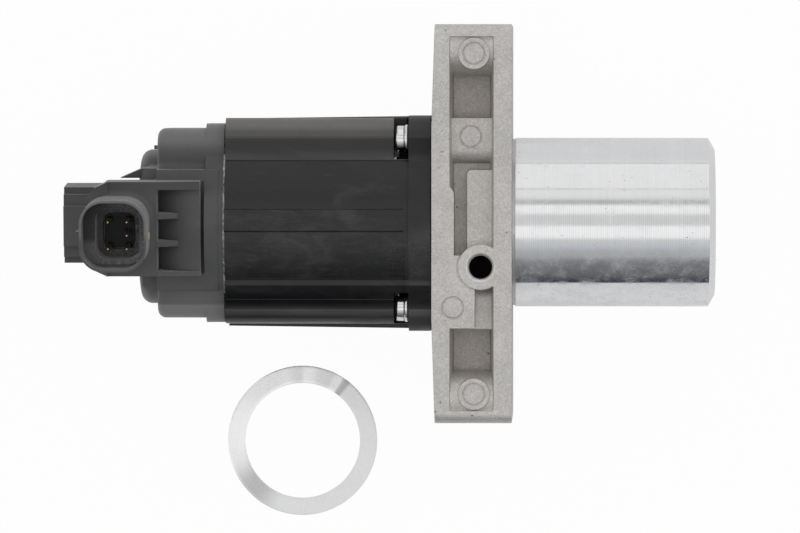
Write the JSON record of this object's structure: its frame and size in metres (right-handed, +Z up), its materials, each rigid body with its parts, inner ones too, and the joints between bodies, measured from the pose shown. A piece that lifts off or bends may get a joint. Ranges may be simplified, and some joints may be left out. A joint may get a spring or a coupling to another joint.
{
  "type": "exhaust gas recirculation valve",
  "caption": "Exhaust gas recirculation valve: cast flange with a machined barrel, electric actuator with a connector, spring-closed poppet, and a loose wave spring washer.",
  "frame": {"origin": "on the barrel's axis, in the flange's mounting face, at the centre of its four bolt holes", "axes": "+X along the valve's axis to the barrel's nose, +Y along the flange's long side, +Z up past the connector"},
  "size_m": [0.1967, 0.1504, 0.0808],
  "materials": {
    "cast_aluminium": "as cast and blasted, fine grain",
    "machined_aluminium": "turned, bright",
    "valve_steel": "ground stainless steel",
    "bronze": "sintered bronze",
    "black_plastic": "moulded, satin",
    "zinc_steel": "zinc plated",
    "spring_steel": "drawn wire",
    "bright_spring_steel": "rolled strip, bright",
    "seal_rubber": "moulded",
    "gasket_grey": "pale bead",
    "motor_steel": "zinc plated sheet",
    "core_steel": "stacked laminations",
    "ferrite": "sintered ferrite",
    "copper": "enamelled wire",
    "contact_brass": "plated contact",
    "brown_plastic": "moulded phenolic",
    "carbon": "sintered graphite",
    "board_green": "solder resist",
    "chip_black": "moulded chip",
    "white_plastic": "moulded acetal"
  },
  "bodies": {
    "housing": {"flange_housing": "cast_aluminium", "barrel": "machined_aluminium", "valve_seat": "valve_steel", "stem_guide": "bronze", "stem_seal": "seal_rubber", "soot_shield": "valve_steel", "return_spring": "spring_steel", "actuator_housing": "black_plastic", "housing_seal": "seal_rubber", "housing_screws": "zinc_steel", "screw_washers": "zinc_steel", "motor_yoke": "motor_steel", "motor_magnets": "ferrite", "bearing_plate": "zinc_steel", "front_bearing_outer": "valve_steel", "rear_bush": "bronze", "brush_plate": "brown_plastic", "carbon_brushes": "carbon", "motor_terminals": "contact_brass", "end_cap": "black_plastic", "cap_gasket": "gasket_grey", "connector_pins": "contact_brass", "sensor_board": "board_green", "hall_chip": "chip_black", "plunger_spring": "spring_steel"},
    "rotor": {"drive_nut": "bronze", "rotor_core": "core_steel", "rotor_windings": "copper", "commutator": "contact_brass", "front_bearing_inner": "valve_steel"},
    "ball_cage": {"front_bearing_balls": "valve_steel", "front_bearing_cage": "white_plastic"},
    "screw": {"drive_screw": "valve_steel"},
    "valve": {"poppet": "valve_steel", "valve_stem": "valve_steel", "spring_retainer": "zinc_steel", "retainer_collets": "zinc_steel"},
    "plunger": {"sensor_plunger": "white_plastic", "plunger_magnet": "ferrite"},
    "washer": {"wave_washer": "bright_spring_steel"}
  },
  "joints": [
    {"name": "rotor_spin", "type": "hinge", "parent": "housing", "child": "rotor", "pos_m": [0, 0, 0], "axis": [1, 0, 0], "range_deg": [0, 720], "stiffness_Nm_per_rad": 0.00073, "springref_deg": -540.01},
    {"name": "cage_roll", "type": "hinge", "parent": "housing", "child": "ball_cage", "pos_m": [0, 0, 0], "axis": [1, 0, 0], "range_deg": [0, 305]},
    {"name": "screw_travel", "type": "slide", "parent": "housing", "child": "screw", "axis": [1, 0, 0], "range_m": [0, 0.008]},
    {"name": "valve_lift", "type": "slide", "parent": "housing", "child": "valve", "axis": [1, 0, 0], "range_m": [0, 0.008], "deforming": ["return_spring"]},
    {"name": "plunger_travel", "type": "slide", "parent": "housing", "child": "plunger", "axis": [1, 0, 0], "range_m": [0, 0.008], "deforming": ["plunger_spring"]},
    {"name": "washer_lift", "type": "slide", "parent": "housing", "child": "washer", "axis": [0, 0, 1], "range_m": [0, 0.03]}
  ],
  "couplings": [
    {"joint": "cage_roll", "follows": "rotor_spin", "ratio": 0.4209},
    {"joint": "screw_travel", "follows": "rotor_spin", "m_per_rad": 0.0006366},
    {"joint": "valve_lift", "follows": "rotor_spin", "m_per_rad": 0.0006366},
    {"joint": "plunger_travel", "follows": "rotor_spin", "m_per_rad": 0.0006366}
  ]
}
